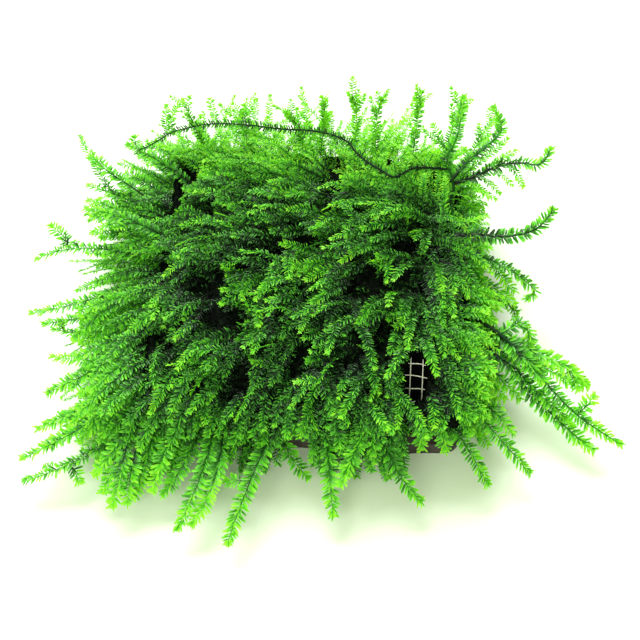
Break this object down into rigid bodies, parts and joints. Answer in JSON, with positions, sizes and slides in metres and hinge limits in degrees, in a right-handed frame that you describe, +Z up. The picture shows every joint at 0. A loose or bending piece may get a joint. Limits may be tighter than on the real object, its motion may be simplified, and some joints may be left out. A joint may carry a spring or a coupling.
{
  "type": "pilo moss on driftwood",
  "caption": "Pad of feathery green aquarium moss grown through woven steel mesh on a flat piece of driftwood, to stand in an aquarium.",
  "frame": {"origin": "middle of the driftwood's flat underside, where it stands on the aquarium floor", "axes": "+Z up out of the underside, -Y the front, where the longest shoots hang, +X to the right"},
  "size_m": [0.1503, 0.1282, 0.0366],
  "materials": {
    "driftwood": "dark waterlogged wood with fine grain",
    "steel_mesh": "woven stainless wire, dull cream sheen",
    "moss_mat": "matted dark green moss stems and leaves",
    "moss_shoot": "leafy fronds, dark at the root and bright lime at the tip"
  },
  "bodies": {
    "root": {"driftwood": "driftwood", "wire_mesh": "steel_mesh", "moss_mat": "moss_mat", "front_shoot_1": "moss_shoot", "front_shoot_2": "moss_shoot", "front_shoot_3": "moss_shoot", "front_shoot_4": "moss_shoot", "front_shoot_5": "moss_shoot", "front_shoot_6": "moss_shoot", "front_shoot_7": "moss_shoot", "front_shoot_8": "moss_shoot", "front_shoot_9": "moss_shoot", "front_shoot_10": "moss_shoot", "front_shoot_11": "moss_shoot", "left_shoot_1": "moss_shoot", "left_shoot_2": "moss_shoot", "left_shoot_3": "moss_shoot", "left_shoot_4": "moss_shoot", "left_shoot_5": "moss_shoot", "left_shoot_6": "moss_shoot", "left_shoot_7": "moss_shoot", "left_shoot_8": "moss_shoot", "left_shoot_9": "moss_shoot", "left_shoot_10": "moss_shoot", "left_shoot_11": "moss_shoot", "left_shoot_12": "moss_shoot", "back_shoot_1": "moss_shoot", "back_shoot_2": "moss_shoot", "back_shoot_3": "moss_shoot", "back_shoot_4": "moss_shoot", "back_shoot_5": "moss_shoot", "back_shoot_6": "moss_shoot", "back_shoot_7": "moss_shoot", "back_shoot_8": "moss_shoot", "back_shoot_9": "moss_shoot", "back_shoot_10": "moss_shoot", "right_shoot_1": "moss_shoot", "right_shoot_2": "moss_shoot", "right_shoot_3": "moss_shoot", "right_shoot_4": "moss_shoot", "right_shoot_5": "moss_shoot", "right_shoot_6": "moss_shoot", "right_shoot_7": "moss_shoot", "right_shoot_8": "moss_shoot", "right_shoot_9": "moss_shoot"}
  },
  "joints": []
}
